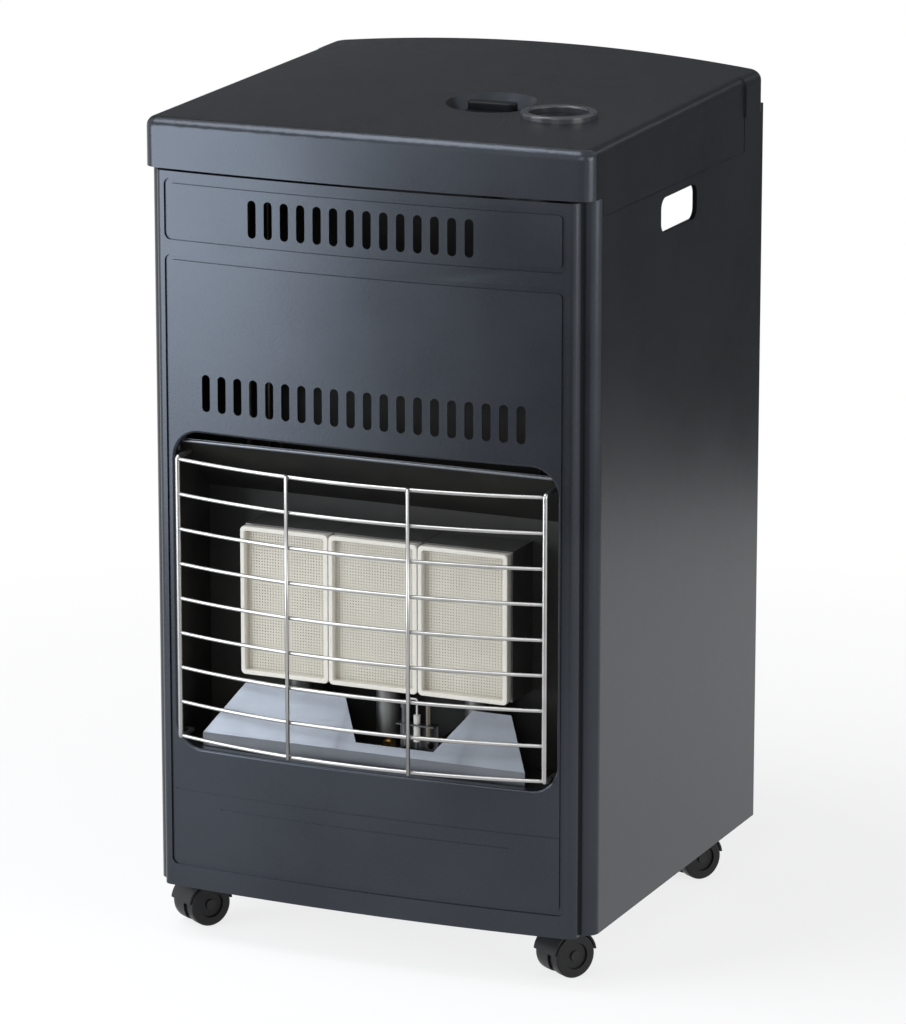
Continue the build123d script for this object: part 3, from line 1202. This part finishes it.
def caster_bolts(grow):
    """Two bolts up through each caster's plate into the tray."""
    screws = []
    for x, y in CASTERS.values():
        for side in (-1, 1):
            spot = (x + side * CASTER_BOLT_OFFSET, y, TRAY_RISE - CASTER_PLATE_THICKNESS)
            length = CASTER_PLATE_THICKNESS + SHEET + SCREW_TIP
            screws.append(screw(spot, (0, 0, 1), length, grow))
    return screws


# ---- Casters ----
def at_caster(shape, place):
    """Turns a caster piece to its heading and puts it at its kingpin, on the floor."""
    x, y = place
    return Pos(x, y, -GROUND_GAP) * Rot(0, 0, CASTER_ANGLE) * shape


def caster_plate(place):
    """A caster's mounting plate with its kingpin."""
    top = GROUND_GAP + TRAY_RISE
    plate = RectangleRounded(CASTER_PLATE, CASTER_PLATE, CASTER_PLATE_CORNER)
    low = top - CASTER_PLATE_THICKNESS
    shape = Pos(0, 0, low) * extrude(plate, amount=CASTER_PLATE_THICKNESS)
    shape += rod((0, 0, kingpin_low()), (0, 0, low), KINGPIN_RADIUS)
    x, y = place
    return Pos(x, y, -GROUND_GAP) * shape - caster_bolts(SEAM / 2)


def kingpin_low():
    """The height of the kingpin's lower end above the floor."""
    return 2 * WHEEL_RADIUS + 3 * HOOD_CLEARANCE


def caster_hood(place):
    """A caster's swivelling body: the web between the wheels, its hood and its boss."""
    axle_y = -CASTER_TRAIL
    radius = WHEEL_RADIUS + HOOD_CLEARANCE
    half = WEB_WIDTH / 2 + WHEEL_GAP + WHEEL_WIDTH - WHEEL_BARE
    shell = rod((-half, axle_y, WHEEL_RADIUS), (half, axle_y, WHEEL_RADIUS), radius + HOOD_WALL)
    shell -= rod((-half - OVER, axle_y, WHEEL_RADIUS), (half + OVER, axle_y, WHEEL_RADIUS), radius)
    far = 4 * WHEEL_RADIUS
    shell -= block(-far, far, axle_y - far, axle_y + far, -far, HOOD_BOTTOM)
    web_half = WEB_WIDTH / 2
    web_radius = radius + HOOD_WALL / 2
    web = rod((-web_half, axle_y, WHEEL_RADIUS), (web_half, axle_y, WHEEL_RADIUS), web_radius)
    web -= block(-far, far, axle_y - far, axle_y + far, -far, WEB_BOTTOM)
    top = GROUND_GAP + TRAY_RISE - CASTER_PLATE_THICKNESS - SEAM
    boss_low = 2 * WHEEL_RADIUS + HOOD_CLEARANCE
    boss = rod((0, 0, boss_low), (0, 0, top), BOSS_RADIUS)
    tie = block(-web_half, web_half, axle_y, 0, boss_low - HOOD_CLEARANCE, boss_low + HOOD_WALL)
    hood = shell + web + tie + boss
    hood -= rod((0, 0, kingpin_low() - SEAM), (0, 0, top + OVER), KINGPIN_RADIUS + RUNNING_FIT)
    hood -= rod((-far, axle_y, WHEEL_RADIUS), (far, axle_y, WHEEL_RADIUS), AXLE_RADIUS + RUNNING_FIT)
    return at_caster(hood, place)


def caster_axle(place):
    """A caster's axle with a low head at each end."""
    half = WEB_WIDTH / 2 + WHEEL_GAP + WHEEL_WIDTH - HUB_DISH + WHEEL_GAP
    y, z = -CASTER_TRAIL, WHEEL_RADIUS
    axle = rod((-half - AXLE_HEAD, y, z), (half + AXLE_HEAD, y, z), AXLE_RADIUS)
    for side in (-1, 1):
        axle += rod((side * half, y, z), (side * (half + AXLE_HEAD), y, z), AXLE_HEAD_RADIUS)
    return at_caster(axle, place)


def caster_wheel(place, side):
    """One plain wheel, dished round its hub, free to turn on the axle."""
    y, z = -CASTER_TRAIL, WHEEL_RADIUS
    near = side * (WEB_WIDTH / 2 + WHEEL_GAP)
    outer = near + side * WHEEL_WIDTH
    wheel = rod((near, y, z), (outer, y, z), WHEEL_RADIUS)
    wheel = fillet(wheel.edges().filter_by(GeomType.CIRCLE), WHEEL_ROUND)
    wheel -= rod((outer - side * HUB_DISH, y, z), (outer + side, y, z), HUB_RADIUS)
    wheel -= rod((near - side, y, z), (outer + side, y, z), AXLE_RADIUS + RUNNING_FIT)
    return at_caster(wheel, place)


# ---- Export ----
def save(name, shape):
    """Moves a piece into the heater's frame and writes it."""
    placed = Pos(0, CORNER_Y, GROUND_GAP) * shape
    export_step(placed, os.path.join("parts", name + ".step"))


def save_group(name, solids):
    """Writes like separate solids as one node."""
    home = Pos(0, CORNER_Y, GROUND_GAP)
    export_step(group([home * solid for solid in solids]), os.path.join("parts", name + ".step"))


def main():
    os.makedirs("parts", exist_ok=True)
    right = side_panel_right()
    save("side_panel_right", right)
    save("side_panel_left", mirrored(right))
    save("front_panel", front_panel())
    save("top_cover", top_cover())
    save("base_tray", base_tray())
    save("heat_shield", heat_shield())
    save("front_top_rail", front_top_rail())
    save("rear_top_rail", rear_top_rail())
    save("rear_cover", rear_cover())
    save("burner_housing", burner_housing())
    save("lower_reflector", lower_reflector())
    save("wire_guard", wire_guard())
    for name, x in zip(("left", "centre", "right"), BURNER_XS):
        save("burner_body_" + name, burner_body(x))
        save("ceramic_plaque_" + name, ceramic_plaque(x))
    save_group("plaque_frames", [plaque_frame(x) for x in BURNER_XS])
    save_group("mixing_tubes", [mixing_tube(x) for x in BURNER_XS])
    save_group("injectors", [injector(x) for x in BURNER_XS])
    save("gas_manifold", gas_manifold())
    save("burner_feed_pipe", burner_feed_pipe())
    save("pilot_pipe", pilot_pipe())
    save("pilot_bracket", pilot_bracket())
    save("pilot_burner", pilot_burner())
    save("spark_electrode", electrode())
    save("spark_lead", spark_lead())
    save("thermocouple", thermocouple())
    save("valve_bracket", valve_bracket())
    save("gas_valve", gas_valve())
    save("hose_tail", hose_tail())
    save("valve_spindle", valve_spindle())
    save("control_knob", control_knob())
    save("igniter_collar", igniter_collar())
    save("igniter_button", igniter_button())
    save("piezo_igniter", piezo_igniter())
    save_group("panel_screws", panel_screws(0))
    save_group("lid_screws", lid_screws(0))
    save_group("rear_screws", rear_screws(0))
    save_group("tray_screws", tray_screws(0))
    save_group("caster_bolts", caster_bolts(0))
    save_group("caster_plates", [caster_plate(place) for place in CASTERS.values()])
    for name, place in CASTERS.items():
        save("caster_hood_" + name, caster_hood(place))
        save("caster_axle_" + name, caster_axle(place))
        save("wheel_left_" + name, caster_wheel(place, -1))
        save("wheel_right_" + name, caster_wheel(place, 1))


main()
